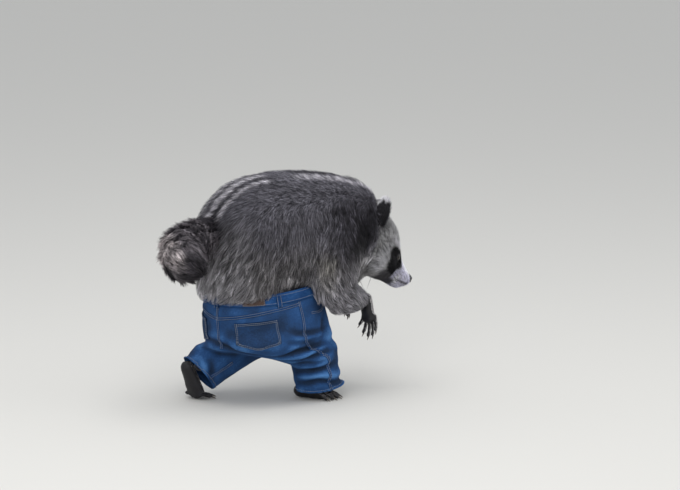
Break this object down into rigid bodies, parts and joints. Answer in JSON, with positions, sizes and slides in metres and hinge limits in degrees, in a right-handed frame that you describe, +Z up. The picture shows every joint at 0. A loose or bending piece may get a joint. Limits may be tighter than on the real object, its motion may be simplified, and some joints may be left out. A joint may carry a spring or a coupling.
{
  "type": "raccoon in jeans, still figure",
  "caption": "Life-size still raccoon walking on its hind legs, hunched level, with a ringed bushy tail, in small blue denim trousers.",
  "frame": {"origin": "middle of the bounding box's floor, on the ground under the soles", "axes": "+X the way the raccoon walks, +Y its left side, +Z up"},
  "size_m": [0.4872, 0.2534, 0.3798],
  "materials": {
    "grey_fur": "matte fur",
    "dark_fur": "matte short fur",
    "bare_skin": "matte bare skin",
    "nose_skin": "moist",
    "eye": "wet gloss",
    "denim": "worn cotton twill",
    "patch_leather": "satin",
    "brass": "aged"
  },
  "bodies": {
    "root": {"head": "grey_fur", "neck": "grey_fur", "trunk": "grey_fur", "tail_base": "grey_fur", "tail_tip": "grey_fur", "foreleg_upper_right": "grey_fur", "foreleg_lower_right": "grey_fur", "foreleg_upper_left": "grey_fur", "foreleg_lower_left": "grey_fur", "hindleg_right": "grey_fur", "hindleg_left": "grey_fur", "ear_right": "dark_fur", "ear_left": "dark_fur", "forepaw_right": "bare_skin", "forepaw_left": "bare_skin", "hindfoot_right": "bare_skin", "hindfoot_left": "bare_skin", "nose": "nose_skin", "eye_right": "eye", "eye_left": "eye", "jeans_seat": "denim", "jeans_leg_right": "denim", "jeans_leg_left": "denim", "jeans_waistband": "denim", "belt_loop_1": "denim", "belt_loop_2": "denim", "belt_loop_3": "denim", "belt_loop_4": "denim", "belt_loop_5": "denim", "pocket_right": "denim", "pocket_left": "denim", "waist_patch": "patch_leather", "button": "brass"}
  },
  "joints": []
}
